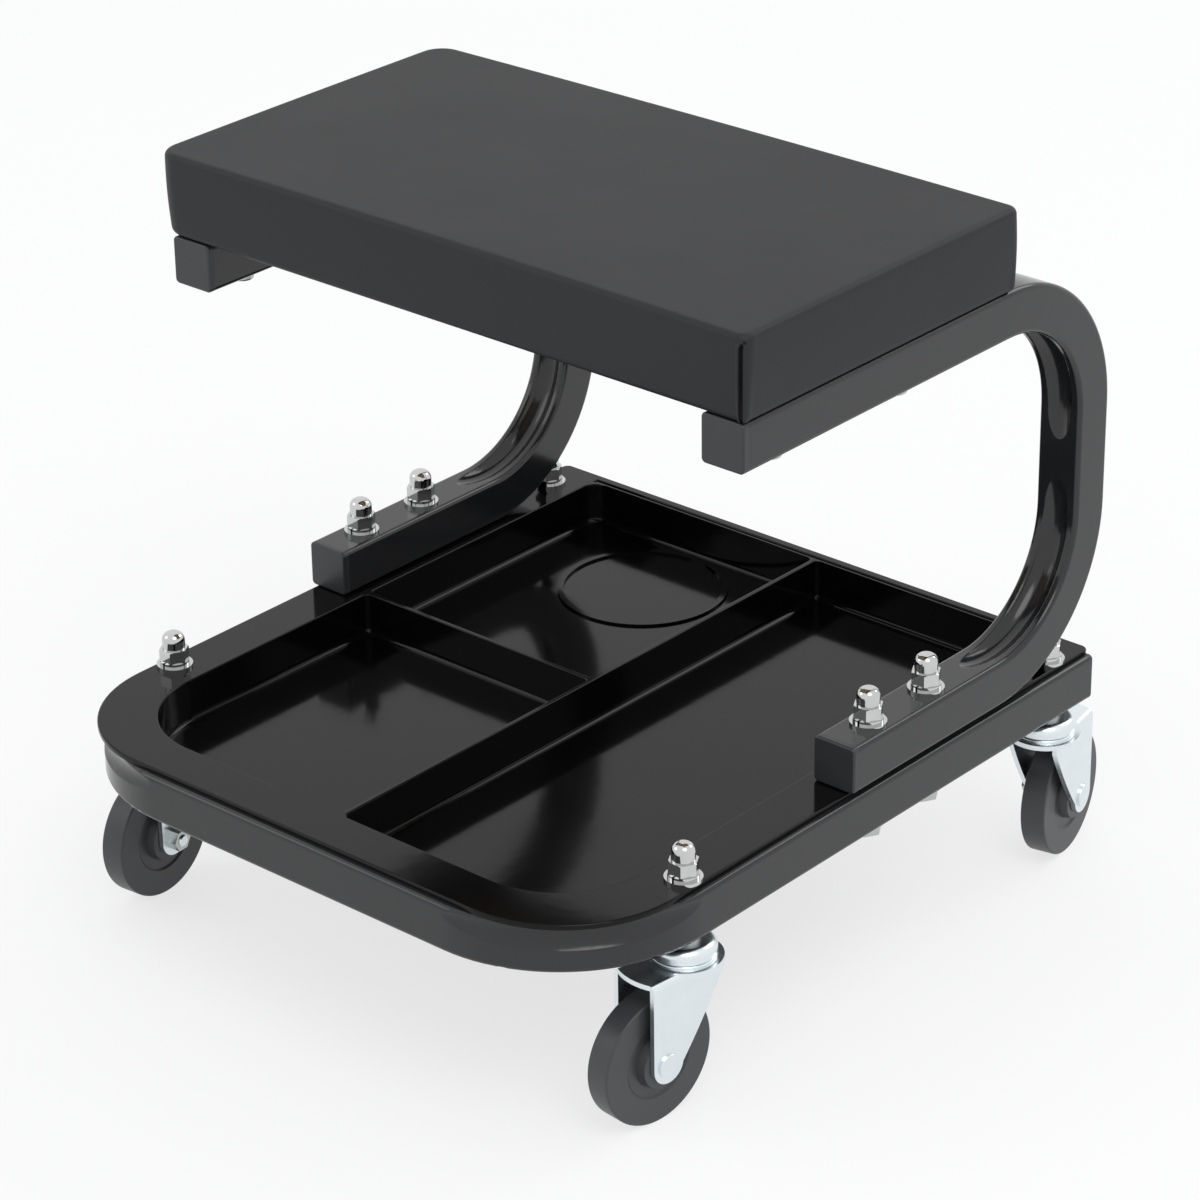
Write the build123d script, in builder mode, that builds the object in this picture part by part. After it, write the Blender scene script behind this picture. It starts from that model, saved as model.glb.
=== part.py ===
from build123d import *
from math import cos, degrees, hypot, radians, sin
import os

os.makedirs("parts", exist_ok=True)

# Square tube of the base frame and of both seat supports
tube = 24.0
tube_wall = 1.6
tube_corner = 2.5
bend_outer = 82.0
side_spread = 327.0

# Heights: the floor is at zero and the frame hangs on the caster stems
wheel_diameter = 65.0
mount_height = 89.1
rim_thickness = 2.5
support_height = 215.5
seat_height = 43.0

# Base frame in plan, open at the rear
frame_front = -206.2
frame_length = 384.7
front_stem_setback = 84.0
rear_stem_setback = 23.2

# Crushed troughs of the tube bends
trough_radius = 8.0
trough_depth = 5.0
trough_reach = 85.0
trough_span = 75.0
trough_edge = 1.2
crease_radius = 12.0
crease_depth = 3.5
crease_rise = 8.0
crease_reach = 42.0
crease_edge = 1.0

# Plastic tube ends
cap_flange = 3.5
cap_plug = 14.0
cap_wall = 2.0
cap_edge = 1.2
cap_clearance = 0.15

# Seat supports, seen from the side as a C that opens to the front
upper_leg_length = 277.6
lower_leg_length = 196.2
support_overhang = 3.9
tube_bolt_setback = 25.6
tube_bolt_spacing = 44.5

# Tool tray
tray_width = 344.0
tray_length = 382.5
tray_setback = 3.5
tray_depth = 21.8
tray_floor = 2.5
tray_wall = 2.2
tray_front_corner = 64.0
tray_rear_corner = 4.0
tray_edge = 0.9
pocket_edge = 0.7
opening_width = 292.0
opening_front_corner = 48.5
opening_rear_corner = 9.0
rim_front = 24.5
rim_rear = 8.0
lip_width = 3.0
lip_drop = 0.8
pocket_corner = 3.0
pocket_floor_round = 3.0
basin_round = 4.5
pocket_draft = 2.0
divider = 2.5
long_divider_offset = 5.0
cross_divider_setback = 175.5
dish_radius = 44.5
dish_bead = 3.0
dish_bead_height = 1.2
dish_offset = -70.0
dish_rear_gap = 1.0

# Fasteners
bolt_radius = 4.0
bolt_clearance = 0.25
nut_flats = 13.0
nut_hex_height = 6.4
nut_height = 15.0
nut_dome_radius = 5.7
nut_dome_round = 4.2
nut_chamfer = 0.7
nut_bore_depth = 9.5
thread_clearance = 0.05
washer_radius = 9.0
washer_thickness = 1.6
spring_washer_radius = 7.4
spring_washer_thickness = 2.0
spring_washer_gap = 1.2
thread_end_gap = 1.2
bolt_head_height = 5.3

# Seat cushion, with its board and screws
seat_left_overhang = 20.0
seat_right_overhang = 14.5
seat_depth = 199.0
seat_overlap = 2.0
seat_left_corner = 13.0
seat_right_corner = 6.5
seat_top_round = 3.2
seat_bottom_round = 4.0
seat_crown = 1.2
seat_draw_in = 1.2
cover_thickness = 1.2
board_thickness = 12.0
hem_past_tube = 3.5
seat_screw_setback = 33.0
seat_screw_spacing = 90.0
screw_radius = 3.0
screw_head_radius = 5.5
screw_head_height = 3.8
screw_head_edge = 1.2
screw_washer_radius = 7.5
screw_washer_thickness = 1.2
tee_nut_barrel = 4.2
tee_nut_barrel_length = 9.0
tee_nut_flange = 9.0
tee_nut_thickness = 1.2
staple_wire = 0.7
staple_crown = 10.0
staple_leg = 6.0
staple_inset = 1.5
staple_side_count = 4
staple_front_count = 7

# Swivel casters
caster_trail = 22.0
wheel_width = 13.0
wheel_round = 1.0
wheel_rim_inner_radius = 19.5
wheel_web = 5.6
hub_radius = 12.5
hub_foot_radius = 13.5
sleeve_radius = 4.0
axle_radius = 3.0
running_gap = 0.05
side_gap = 0.3
fork_half_width = 13.0
fork_sheet = 2.5
fork_plate_top = 77.0
fork_lead = 12.5
fork_leg_end = 9.0
fork_leg_angle = 188.0
fork_front_drop = 6.0
fork_front_sag = 1.0
fork_bend = 3.0
fork_nose = 2.0
fork_dish_radius = 18.5
race_radius = 15.5
race_height = 1.5
race_edge = 1.0
race_seam = 0.5
ball_radius = 2.4
ball_circle = 10.5
ball_count = 12
cap_wall_thickness = 2.0
cap_top_round = 4.0
stem_radius = 5.0
collar_radius = 8.0
collar_height = 3.5
stem_head_radius = 7.0
stem_head_height = 3.0
retainer_radius = 9.0
retainer_thickness = 1.3
axle_head_radius = 6.0
axle_head_height = 1.2
axle_head_edge = 0.5
axle_nut_flats = 10.0
axle_nut_height = 5.0
axle_end = 1.0

# Directions in which the casters trail, in degrees from +X
front_left_angle = -84.9
front_right_angle = -96.2
rear_left_angle = 82.0
rear_right_angle = 101.2

# Places that follow from the sizes above
side_x = side_spread / 2
tube_bore = tube - 2 * tube_wall
bore_corner = tube_corner - tube_wall
frame_top = mount_height + tube
frame_rear = frame_front + frame_length
tray_top = frame_top + rim_thickness
support_back = frame_rear + support_overhang
support_top = tray_top + support_height
bend_centre_line = bend_outer - tube / 2
bend_inner = bend_outer - tube
front_stem_y = frame_front + front_stem_setback
rear_stem_y = frame_rear - rear_stem_setback
lower_cap_face = support_back - lower_leg_length
upper_cap_face = support_back - upper_leg_length
first_tube_bolt_y = lower_cap_face + tube_bolt_setback
tube_bolt_ys = [first_tube_bolt_y, first_tube_bolt_y + tube_bolt_spacing]
tube_bolt_places = [(side * side_x, y) for side in (-1, 1) for y in tube_bolt_ys]
stem_places = [(side * side_x, y) for side in (-1, 1) for y in (front_stem_y, rear_stem_y)]
first_seat_screw_y = upper_cap_face + seat_screw_setback
seat_screw_ys = [first_seat_screw_y, first_seat_screw_y + seat_screw_spacing]
seat_screw_places = [(side * side_x, y) for side in (-1, 1) for y in seat_screw_ys]
tray_front = frame_front + tray_setback
tray_rear = tray_front + tray_length
opening_front = tray_front + rim_front
opening_rear = tray_rear - rim_rear
cross_divider_y = opening_front + cross_divider_setback
seat_width = side_spread + seat_left_overhang + seat_right_overhang
seat_centre_x = (seat_right_overhang - seat_left_overhang) / 2
hem_width = seat_left_overhang + tube / 2 + hem_past_tube
seat_front = upper_cap_face - seat_overlap
seat_centre_y = seat_front + seat_depth / 2
seat_top = support_top + seat_height
board_bottom = support_top + cover_thickness
board_top = board_bottom + board_thickness
axle_height = wheel_diameter / 2


def save(part, name):
    part.label = name
    export_step(part, f"parts/{name}.step")


def rounded_plan(height, x_low, x_high, y_low, y_high, corner_radii):
    """A rectangle with a radius for each corner: front left, front right, rear left and rear right."""
    corners = [(x_low, y_low), (x_high, y_low), (x_low, y_high), (x_high, y_high)]
    with BuildSketch(Plane.XY.offset(height)) as plan:
        with Locations(((x_low + x_high) / 2, (y_low + y_high) / 2)):
            Rectangle(x_high - x_low, y_high - y_low)
        for corner, corner_radius in zip(corners, corner_radii):
            fillet(plan.vertices().sort_by_distance((*corner, 0))[0], corner_radius)
    return plan.sketch


# Base frame: one tube bent to a U, its two front bends creased by the bender
frame_height = mount_height + tube / 2
frame_bend_centre = (side_x + tube / 2 - bend_outer, frame_front + bend_outer)
crease_shift = crease_depth / (1 - cos(radians(crease_reach)))
crease_sweep = bend_outer + crease_radius - crease_depth + crease_shift
crease_offset = crease_shift * sin(radians(45))


def frame_sweep(width, corner_radius, crease):
    with BuildPart() as swept:
        with BuildLine(Plane.XY.offset(frame_height)) as centre_line:
            FilletPolyline(
                (-side_x, frame_rear - cap_flange),
                (-side_x, frame_front + tube / 2),
                (side_x, frame_front + tube / 2),
                (side_x, frame_rear - cap_flange),
                radius=bend_centre_line,
            )
        start = centre_line.line @ 0
        with BuildSketch(Plane(origin=start, x_dir=(1, 0, 0), z_dir=(0, -1, 0))):
            RectangleRounded(width, width, corner_radius)
        sweep()
        for side in (-1, 1):
            torus_place = (
                side * (frame_bend_centre[0] - crease_offset),
                frame_bend_centre[1] + crease_offset,
                frame_height + crease_rise,
            )
            with Locations(torus_place):
                Torus(
                    crease_sweep,
                    crease,
                    major_angle=90,
                    rotation=(0, 0, -90 if side > 0 else 180),
                    align=None,
                    mode=Mode.SUBTRACT,
                )
    return swept.part


with BuildPart() as base_frame:
    add(frame_sweep(tube, tube_corner, crease_radius))
    tori = base_frame.faces().filter_by(GeomType.TORUS)
    creases = tori.filter_by(lambda face: abs(face.center().Z - frame_height) < tube / 2 - tube_corner)
    fillet(creases.edges().filter_by(lambda edge: edge.center().Z < frame_height), crease_edge)
    add(frame_sweep(tube_bore, bore_corner, crease_radius + tube_wall), mode=Mode.SUBTRACT)
    with BuildSketch(Plane.XY.offset(mount_height)):
        with Locations(*stem_places, *tube_bolt_places):
            Circle(bolt_radius + bolt_clearance)
    extrude(amount=tube, mode=Mode.SUBTRACT)
save(base_frame.part, "base_frame")


# Seat supports: a tube bent twice, with the inner wall of each bend crushed to a trough
support_bends = [
    (support_back - bend_outer, tray_top + bend_outer),
    (support_back - bend_outer, support_top - bend_outer),
]
trough_shift = trough_depth / (1 - cos(radians(trough_reach)))
trough_sweep = bend_inner + trough_depth - trough_radius - trough_shift
trough_offset = trough_shift * sin(radians(45))
trough_centres = [
    (support_bends[0][0] + trough_offset, support_bends[0][1] - trough_offset),
    (support_bends[1][0] + trough_offset, support_bends[1][1] + trough_offset),
]


def support_sweep(x, width, corner_radius, trough):
    with BuildPart() as swept:
        with BuildLine(Plane.YZ.offset(x)) as centre_line:
            FilletPolyline(
                (upper_cap_face + cap_flange, support_top - tube / 2),
                (support_back - tube / 2, support_top - tube / 2),
                (support_back - tube / 2, tray_top + tube / 2),
                (lower_cap_face + cap_flange, tray_top + tube / 2),
                radius=bend_centre_line,
            )
        start = centre_line.line @ 0
        with BuildSketch(Plane(origin=start, x_dir=(1, 0, 0), z_dir=(0, 1, 0))):
            RectangleRounded(width, width, corner_radius)
        sweep()
        for (y, z), middle in zip(trough_centres, (-45, 45)):
            turn = radians(middle - trough_span)
            section = Plane((x, y, z), x_dir=(0, cos(turn), sin(turn)), z_dir=(0, -sin(turn), cos(turn)))
            with BuildSketch(section):
                with Locations(Location((trough_sweep, 0), 180)):
                    Circle(trough)
            revolve(axis=Axis((x, y, z), (1, 0, 0)), revolution_arc=2 * trough_span, mode=Mode.SUBTRACT)
    return swept.part


for side_name, side in (("left", -1), ("right", 1)):
    x = side * side_x
    with BuildPart() as support:
        add(support_sweep(x, tube, tube_corner, trough_radius))
        tori = support.faces().filter_by(GeomType.TORUS)
        troughs = tori.filter_by(lambda face: abs(face.center().X - x) < tube / 2 - tube_corner)
        fillet(troughs.edges(), trough_edge)
        add(support_sweep(x, tube_bore, bore_corner, trough_radius + tube_wall), mode=Mode.SUBTRACT)
        with BuildSketch(Plane.XY.offset(tray_top)):
            with Locations(*[(x, y) for y in tube_bolt_ys]):
                Circle(bolt_radius + bolt_clearance)
        extrude(amount=tube, mode=Mode.SUBTRACT)
        with BuildSketch(Plane.XY.offset(support_top)):
            with Locations(*[(x, y) for y in seat_screw_ys]):
                Circle(screw_radius + bolt_clearance)
        extrude(amount=-tube, mode=Mode.SUBTRACT)
    save(support.part, f"{side_name}_seat_tube")


# Tube ends: a flange as wide as the tube over a hollow plug
def tube_cap(face):
    with BuildPart() as cap:
        with BuildSketch(face):
            RectangleRounded(tube, tube, tube_corner)
        extrude(amount=-cap_flange)
        fillet(cap.faces().sort_by(Axis(face.origin, face.z_dir))[-1].edges(), cap_edge)
        with BuildSketch(face.offset(-cap_flange)):
            plug = tube_bore - 2 * cap_clearance
            RectangleRounded(plug, plug, bore_corner)
            Rectangle(plug - 2 * cap_wall, plug - 2 * cap_wall, mode=Mode.SUBTRACT)
        extrude(amount=-cap_plug)
    return cap.part


for side_name, side in (("left", -1), ("right", 1)):
    x = side * side_x
    front_face = {"x_dir": (1, 0, 0), "z_dir": (0, -1, 0)}
    rear_face = {"x_dir": (1, 0, 0), "z_dir": (0, 1, 0)}
    upper = Plane(origin=(x, upper_cap_face, support_top - tube / 2), **front_face)
    lower = Plane(origin=(x, lower_cap_face, tray_top + tube / 2), **front_face)
    rear = Plane(origin=(x, frame_rear, frame_height), **rear_face)
    save(tube_cap(upper), f"upper_{side_name}_tube_cap")
    save(tube_cap(lower), f"lower_{side_name}_tube_cap")
    save(tube_cap(rear), f"rear_{side_name}_frame_cap")


# Tool tray: a rim that lies on the frame, a basin below it and three pockets
opening_x = opening_width / 2
left_of_divider = long_divider_offset - divider / 2
right_of_divider = long_divider_offset + divider / 2
pocket_plans = {
    "left_front": (-opening_x, left_of_divider, opening_front, cross_divider_y - divider / 2),
    "left_rear": (-opening_x, left_of_divider, cross_divider_y + divider / 2, opening_rear),
    "right": (right_of_divider, opening_x, opening_front, opening_rear),
}
pocket_corners = {
    "left_front": (opening_front_corner, pocket_corner, pocket_corner, pocket_corner),
    "left_rear": (pocket_corner, pocket_corner, opening_rear_corner, pocket_corner),
    "right": (pocket_corner, opening_front_corner, pocket_corner, opening_rear_corner),
}
tray_floor_z = tray_top - tray_depth

with BuildPart() as tool_tray:
    rim_corners = (tray_front_corner, tray_front_corner, tray_rear_corner, tray_rear_corner)
    extrude(
        rounded_plan(frame_top, -tray_width / 2, tray_width / 2, tray_front, tray_rear, rim_corners),
        amount=rim_thickness,
    )
    basin_front_corner = opening_front_corner + tray_wall
    basin_rear_corner = opening_rear_corner + tray_wall
    basin_corners = (basin_front_corner, basin_front_corner, basin_rear_corner, basin_rear_corner)
    basin_x = opening_x + tray_wall
    extrude(
        rounded_plan(
            frame_top, -basin_x, basin_x, opening_front - tray_wall, opening_rear + tray_wall, basin_corners
        ),
        amount=-(tray_depth + tray_floor - rim_thickness),
        taper=pocket_draft,
    )
    fillet(tool_tray.faces().sort_by(Axis.Z)[0].edges(), basin_round)
    with Locations((0, opening_rear + lip_width / 2, tray_top)):
        Box(opening_width, lip_width, 2 * lip_drop, mode=Mode.SUBTRACT)
    for pocket_name, (x_low, x_high, y_low, y_high) in pocket_plans.items():
        extrude(
            rounded_plan(tray_top, x_low, x_high, y_low, y_high, pocket_corners[pocket_name]),
            amount=-tray_depth,
            taper=pocket_draft,
            mode=Mode.SUBTRACT,
        )
        floor_face = tool_tray.faces().filter_by(Axis.Z).sort_by_distance(
            ((x_low + x_high) / 2, (y_low + y_high) / 2, tray_floor_z)
        )[0]
        fillet(floor_face.edges(), pocket_floor_round)
    rim_face = tool_tray.faces().sort_by(Axis.Z)[-1]
    fillet(rim_face.outer_wire().edges(), tray_edge)
    rim_face = tool_tray.faces().sort_by(Axis.Z)[-1]
    fillet([edge for wire in rim_face.inner_wires() for edge in wire.edges()], pocket_edge)
    dish_place = (dish_offset, opening_rear - dish_rear_gap - pocket_floor_round - dish_radius)
    with BuildSketch(Plane.XY.offset(tray_floor_z)):
        with Locations(dish_place):
            Circle(dish_radius)
            Circle(dish_radius - dish_bead, mode=Mode.SUBTRACT)
    extrude(amount=dish_bead_height)
    with BuildSketch(Plane.XY.offset(tray_top)):
        with Locations(*stem_places, *tube_bolt_places):
            Circle(bolt_radius + bolt_clearance)
    extrude(amount=-rim_thickness, mode=Mode.SUBTRACT)
save(tool_tray.part, "tool_tray")


# Fasteners of the frame: domed nuts over spring and flat washers
def cap_nut_at(place_list, height):
    with BuildPart() as nuts:
        with Locations(*[(x, y, height) for x, y in place_list]):
            add(cap_nut.part)
    return nuts.part


def rings_at(place_list, height, outer, inner, thickness):
    with BuildPart() as rings:
        with BuildSketch(Plane.XY.offset(height)):
            with Locations(*place_list):
                Circle(outer)
                Circle(inner, mode=Mode.SUBTRACT)
        extrude(amount=thickness)
    return rings.part


def spring_rings_at(place_list, height):
    with BuildPart() as rings:
        with BuildSketch(Plane.XY.offset(height)):
            with Locations(*place_list):
                Circle(spring_washer_radius)
                Circle(bolt_radius + bolt_clearance, mode=Mode.SUBTRACT)
            with Locations(*[(x, y - spring_washer_radius / 2) for x, y in place_list]):
                Rectangle(spring_washer_gap, spring_washer_radius, mode=Mode.SUBTRACT)
        extrude(amount=spring_washer_thickness)
    return rings.part


with BuildPart() as cap_nut:
    with BuildSketch():
        RegularPolygon(nut_flats / 2, 6, major_radius=False)
    extrude(amount=nut_hex_height)
    nut_corner = nut_flats / 2 / cos(radians(30))
    with BuildSketch(Plane.XZ):
        with BuildLine():
            Polyline(
                (0, 0),
                (nut_corner - nut_chamfer, 0),
                (nut_corner, nut_chamfer / 2),
                (nut_corner, nut_hex_height - nut_chamfer / 2),
                (nut_corner - nut_chamfer, nut_hex_height),
                (0, nut_hex_height),
                close=True,
            )
        make_face()
    revolve(axis=Axis.Z, mode=Mode.INTERSECT)
    with BuildSketch():
        Circle(nut_dome_radius)
    extrude(amount=nut_height)
    fillet(cap_nut.faces().sort_by(Axis.Z)[-1].edges(), nut_dome_round)
    with BuildSketch():
        Circle(bolt_radius + thread_clearance)
    extrude(amount=nut_bore_depth, mode=Mode.SUBTRACT)

washer_stack = washer_thickness + spring_washer_thickness
washer_bore = bolt_radius + bolt_clearance
for prefix, places, seat_z in (
    ("caster", stem_places, tray_top),
    ("tube", tube_bolt_places, tray_top + tube),
):
    flat_washers = rings_at(places, seat_z, washer_radius, washer_bore, washer_thickness)
    save(flat_washers, f"{prefix}_flat_washers")
    save(spring_rings_at(places, seat_z + washer_thickness), f"{prefix}_spring_washers")
    save(cap_nut_at(places, seat_z + washer_stack), f"{prefix}_cap_nuts")

# Tube bolts, put in from below
bolt_head_top = mount_height - washer_thickness
bolt_tip = tray_top + tube + washer_stack + nut_bore_depth - thread_end_gap
with BuildPart() as tube_bolts:
    with BuildSketch(Plane.XY.offset(bolt_head_top)):
        with Locations(*tube_bolt_places):
            RegularPolygon(nut_flats / 2, 6, major_radius=False)
    extrude(amount=-bolt_head_height)
    with BuildSketch(Plane.XY.offset(bolt_head_top)):
        with Locations(*tube_bolt_places):
            Circle(bolt_radius)
    extrude(amount=bolt_tip - bolt_head_top)
    chamfer(tube_bolts.faces().group_by(Axis.Z)[-1].edges(), nut_chamfer)
save(tube_bolts.part, "tube_bolts")
save(
    rings_at(tube_bolt_places, bolt_head_top, washer_radius, washer_bore, washer_thickness),
    "tube_bolt_washers",
)


# Seat cushion: drawn in towards the bottom, crowned on top and squarer at its right-hand corners
crown_radius = (hypot(seat_width / 2, seat_depth / 2) ** 2 + seat_crown**2) / (2 * seat_crown)
seat_taper = degrees(seat_draw_in / seat_height)


def cushion_block(inset):
    half_width = seat_width / 2 - seat_draw_in - inset
    half_depth = seat_depth / 2 - seat_draw_in - inset
    left_corner = seat_left_corner - inset
    right_corner = seat_right_corner - inset
    with BuildPart() as block:
        extrude(
            rounded_plan(
                support_top + inset,
                seat_centre_x - half_width,
                seat_centre_x + half_width,
                seat_centre_y - half_depth,
                seat_centre_y + half_depth,
                (left_corner, right_corner, left_corner, right_corner),
            ),
            amount=seat_height,
            taper=-seat_taper,
        )
        with Locations((seat_centre_x, seat_centre_y, seat_top - crown_radius)):
            Sphere(crown_radius - inset, mode=Mode.INTERSECT)
        fillet(block.faces().sort_by(Axis.Z)[-1].edges(), seat_top_round - inset)
        fillet(block.faces().sort_by(Axis.Z)[0].edges(), seat_bottom_round - inset)
    return block.part


cushion_core = cushion_block(cover_thickness)
screw_hole = screw_radius + bolt_clearance
barrel_hole = tee_nut_barrel + thread_clearance

with BuildPart() as seat_cover:
    add(cushion_block(0))
    add(cushion_core, mode=Mode.SUBTRACT)
    with BuildSketch(Plane.XY.offset(support_top)):
        with Locations((seat_centre_x, seat_centre_y)):
            Rectangle(seat_width - 2 * hem_width, seat_depth - 2 * hem_width)
        with Locations(*seat_screw_places):
            Circle(screw_hole)
    extrude(amount=cover_thickness, mode=Mode.SUBTRACT)
save(seat_cover.part, "seat_cover")

with BuildPart() as seat_board:
    add(cushion_core)
    with BuildSketch(Plane.XY.offset(board_bottom)):
        with Locations((seat_centre_x, seat_centre_y)):
            Rectangle(seat_width, seat_depth)
    extrude(amount=board_thickness, mode=Mode.INTERSECT)
    with BuildSketch(Plane.XY.offset(board_bottom)):
        with Locations(*seat_screw_places):
            Circle(barrel_hole)
    extrude(amount=board_thickness, mode=Mode.SUBTRACT)
save(seat_board.part, "seat_board")

with BuildPart() as seat_foam:
    add(cushion_core)
    with BuildSketch(Plane.XY.offset(board_top)):
        with Locations((seat_centre_x, seat_centre_y)):
            Rectangle(seat_width, seat_depth)
    extrude(amount=seat_height, mode=Mode.INTERSECT)
    with BuildSketch(Plane.XY.offset(board_top)):
        with Locations(*seat_screw_places):
            Circle(tee_nut_flange + thread_clearance)
    extrude(amount=tee_nut_thickness, mode=Mode.SUBTRACT)
save(seat_foam.part, "seat_foam")

with BuildPart() as seat_tee_nuts:
    with BuildSketch(Plane.XY.offset(board_top)):
        with Locations(*seat_screw_places):
            Circle(tee_nut_flange)
    extrude(amount=tee_nut_thickness)
    with BuildSketch(Plane.XY.offset(board_top)):
        with Locations(*seat_screw_places):
            Circle(tee_nut_barrel)
    extrude(amount=-tee_nut_barrel_length)
    with BuildSketch(Plane.XY.offset(board_top)):
        with Locations(*seat_screw_places):
            Circle(screw_radius + thread_clearance)
    extrude(amount=-tee_nut_barrel_length, mode=Mode.SUBTRACT)
save(seat_tee_nuts.part, "seat_tee_nuts")

screw_head_top = support_top - tube - screw_washer_thickness
with BuildPart() as seat_screws:
    with BuildSketch(Plane.XY.offset(screw_head_top)):
        with Locations(*seat_screw_places):
            Circle(screw_head_radius)
    extrude(amount=-screw_head_height)
    fillet(seat_screws.faces().group_by(Axis.Z)[0].edges(), screw_head_edge)
    with BuildSketch(Plane.XY.offset(screw_head_top - screw_head_height)):
        with Locations(*seat_screw_places):
            RegularPolygon(screw_radius, 6)
    extrude(amount=screw_head_height / 2, mode=Mode.SUBTRACT)
    with BuildSketch(Plane.XY.offset(screw_head_top)):
        with Locations(*seat_screw_places):
            Circle(screw_radius)
    extrude(amount=board_top - screw_head_top)
save(seat_screws.part, "seat_screws")
save(
    rings_at(seat_screw_places, screw_head_top, screw_washer_radius, screw_hole, screw_washer_thickness),
    "seat_screw_washers",
)

# Staples that hold the cover's hem to the board
staple_x = seat_width / 2 - hem_width + staple_inset
staple_y = seat_depth / 2 - hem_width + staple_inset
side_step = 2 * staple_y / staple_side_count
front_step = 2 * staple_x / staple_front_count
side_staples = [
    (seat_centre_x + side * staple_x, seat_centre_y + (i - (staple_side_count - 1) / 2) * side_step)
    for side in (-1, 1)
    for i in range(staple_side_count)
]
front_staples = [
    (seat_centre_x + (i - (staple_front_count - 1) / 2) * front_step, seat_centre_y + side * staple_y)
    for side in (-1, 1)
    for i in range(staple_front_count)
]
with BuildPart() as cover_staples:
    for places, along_y in ((side_staples, True), (front_staples, False)):
        crown = (staple_wire, staple_crown) if along_y else (staple_crown, staple_wire)
        shift = (staple_crown - staple_wire) / 2
        leg_shifts = [(0, -shift), (0, shift)] if along_y else [(-shift, 0), (shift, 0)]
        with BuildSketch(Plane.XY.offset(support_top - staple_wire)):
            with Locations(*places):
                Rectangle(*crown)
        extrude(amount=staple_wire)
        with BuildSketch(Plane.XY.offset(support_top)):
            with Locations(*[(x + dx, y + dy) for x, y in places for dx, dy in leg_shifts]):
                Rectangle(staple_wire, staple_wire)
        extrude(amount=staple_leg)
save(cover_staples.part, "cover_staples")


# One swivel caster, with its stem on the Z axis and its wheel trailing to +X
plate_bottom = fork_plate_top - fork_sheet
race_top = fork_plate_top + race_height
cap_bottom = race_top + race_seam
ball_height = race_top + side_gap + ball_radius
cap_ceiling = ball_height + ball_radius
cap_top = mount_height - collar_height
retainer_top = plate_bottom - side_gap
head_top = retainer_top - retainer_thickness
stem_tip = tray_top + washer_stack + nut_bore_depth - thread_end_gap
fork_inside = fork_half_width - fork_sheet

with BuildPart() as stem:
    with BuildSketch(Plane.XY.offset(head_top - stem_head_height)):
        Circle(stem_head_radius)
    extrude(amount=stem_head_height)
    fillet(stem.faces().sort_by(Axis.Z)[0].edges(), stem_head_height / 2)
    with BuildSketch(Plane.XY.offset(head_top)):
        Circle(stem_radius)
    extrude(amount=cap_top - head_top)
    with BuildSketch(Plane.XY.offset(cap_top)):
        Circle(collar_radius)
    extrude(amount=collar_height)
    with BuildSketch(Plane.XY.offset(mount_height)):
        Circle(bolt_radius)
    extrude(amount=stem_tip - mount_height)
    chamfer(stem.faces().sort_by(Axis.Z)[-1].edges(), nut_chamfer)

with BuildPart() as swivel_cap:
    with BuildSketch(Plane.XY.offset(cap_bottom)):
        Circle(race_radius)
    extrude(amount=cap_top - cap_bottom)
    fillet(swivel_cap.faces().sort_by(Axis.Z)[-1].edges(), cap_top_round)
    with BuildSketch(Plane.XY.offset(cap_bottom)):
        Circle(race_radius - cap_wall_thickness)
    extrude(amount=cap_ceiling - cap_bottom, mode=Mode.SUBTRACT)
    with BuildSketch(Plane.XY.offset(cap_bottom)):
        Circle(stem_radius + running_gap)
    extrude(amount=cap_top - cap_bottom, mode=Mode.SUBTRACT)

with BuildPart() as swivel_balls:
    with PolarLocations(ball_circle, ball_count):
        with Locations((0, 0, ball_height)):
            Sphere(ball_radius)

with BuildPart() as swivel_retainer:
    with BuildSketch(Plane.XY.offset(head_top)):
        Circle(retainer_radius)
        Circle(stem_radius + running_gap, mode=Mode.SUBTRACT)
    extrude(amount=retainer_thickness)

with BuildPart() as fork:
    leg_edge = caster_trail + fork_leg_end
    with BuildSketch(Plane.XZ):
        with BuildLine():
            turn = radians(fork_leg_angle)
            leg_front = (caster_trail + fork_leg_end * cos(turn), axle_height + fork_leg_end * sin(turn))
            plate_front = (-fork_lead, fork_plate_top - fork_front_drop)
            Line((-fork_lead, fork_plate_top), (leg_edge, fork_plate_top))
            Line((leg_edge, fork_plate_top), (leg_edge, axle_height))
            ThreePointArc((leg_edge, axle_height), (caster_trail, axle_height - fork_leg_end), leg_front)
            SagittaArc(leg_front, plate_front, fork_front_sag)
            Line(plate_front, (-fork_lead, fork_plate_top))
        make_face()
    extrude(amount=fork_half_width, both=True)
    fillet(fork.faces().sort_by(Axis.Z)[-1].edges().filter_by(Axis.X), fork_bend)
    with BuildSketch(Plane.XZ):
        with Locations((caster_trail, plate_bottom / 2)):
            Rectangle(2 * (leg_edge + fork_lead), plate_bottom)
    extrude(amount=fork_inside, both=True, mode=Mode.SUBTRACT)
    with BuildSketch(Plane.XY.offset(plate_bottom)):
        with BuildLine():
            ThreePointArc((leg_edge, -fork_inside), (leg_edge + fork_nose, 0), (leg_edge, fork_inside))
            Line((leg_edge, fork_inside), (leg_edge, -fork_inside))
        make_face()
        Circle(fork_dish_radius)
    extrude(amount=fork_sheet)
    with BuildSketch(Plane.XY.offset(fork_plate_top)):
        Circle(race_radius)
    extrude(amount=race_height)
    fillet(fork.faces().sort_by(Axis.Z)[-1].edges(), race_edge)
    with BuildSketch(Plane.XY.offset(plate_bottom)):
        Circle(stem_radius + running_gap)
    extrude(amount=race_top - plate_bottom, mode=Mode.SUBTRACT)
    with BuildSketch(Plane.XZ):
        with Locations((caster_trail, axle_height)):
            Circle(axle_radius + running_gap)
    extrude(amount=fork_half_width, both=True, mode=Mode.SUBTRACT)

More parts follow.
